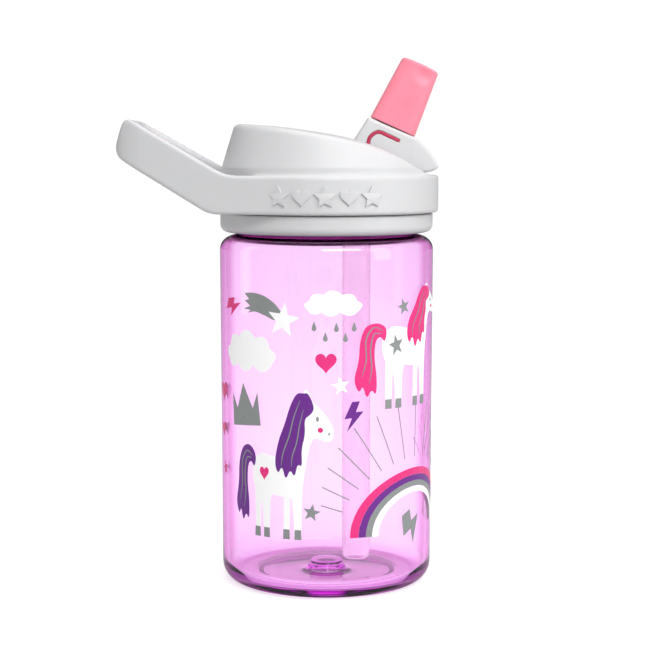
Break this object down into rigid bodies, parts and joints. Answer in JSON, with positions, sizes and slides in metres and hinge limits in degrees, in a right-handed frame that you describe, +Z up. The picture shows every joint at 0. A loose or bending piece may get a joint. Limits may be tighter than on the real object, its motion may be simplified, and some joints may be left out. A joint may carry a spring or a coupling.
{
  "type": "children's straw drinking bottle",
  "caption": "Small see-through drinking bottle with a screw lid, carry loop, flip-up bite spout and straw.",
  "frame": {"origin": "centre of the base, on the surface that the bottle stands on", "axes": "+Z up the bottle's axis, +X the side the open spout leans to, -X the side the carry loop reaches to"},
  "size_m": [0.1095, 0.0764, 0.1794],
  "materials": {
    "tinted_plastic": "clear, tinted light magenta, polished",
    "lid_plastic": "white, fine satin",
    "straw_plastic": "milky, translucent",
    "pink_silicone": "soft pink silicone, satin",
    "crimson_silicone": "crimson silicone, satin",
    "clear_silicone": "milky silicone, satin",
    "print_ink": "opaque screen-print ink in pink, purple, grey and white"
  },
  "bodies": {
    "bottle": {"bottle_body": "tinted_plastic"},
    "gasket": {"neck_gasket": "clear_silicone"},
    "lid": {"lid_shell": "lid_plastic", "threaded_collar": "lid_plastic", "spout_cradle": "lid_plastic", "pivot_seal": "clear_silicone", "vent_valve": "clear_silicone", "straw": "straw_plastic"},
    "spout": {"spout_housing": "lid_plastic", "spout_seal": "crimson_silicone", "bite_valve": "pink_silicone"}
  },
  "joints": [
    {"name": "lid_lift", "type": "slide", "parent": "bottle", "child": "gasket", "axis": [0, 0, 1], "range_m": [0, 0.0181]},
    {"name": "lid_unscrew", "type": "hinge", "parent": "gasket", "child": "lid", "pos_m": [0, 0, 0.128], "axis": [0, 0, 1], "range_deg": [0, 1080]},
    {"name": "spout_flip", "type": "hinge", "parent": "lid", "child": "spout", "pos_m": [0.015, 0, 0.1473], "axis": [0, -1, 0], "range_deg": [0, 118]}
  ],
  "couplings": [
    {"joint": "lid_lift", "follows": "lid_unscrew", "m_per_rad": 0.00095493}
  ]
}
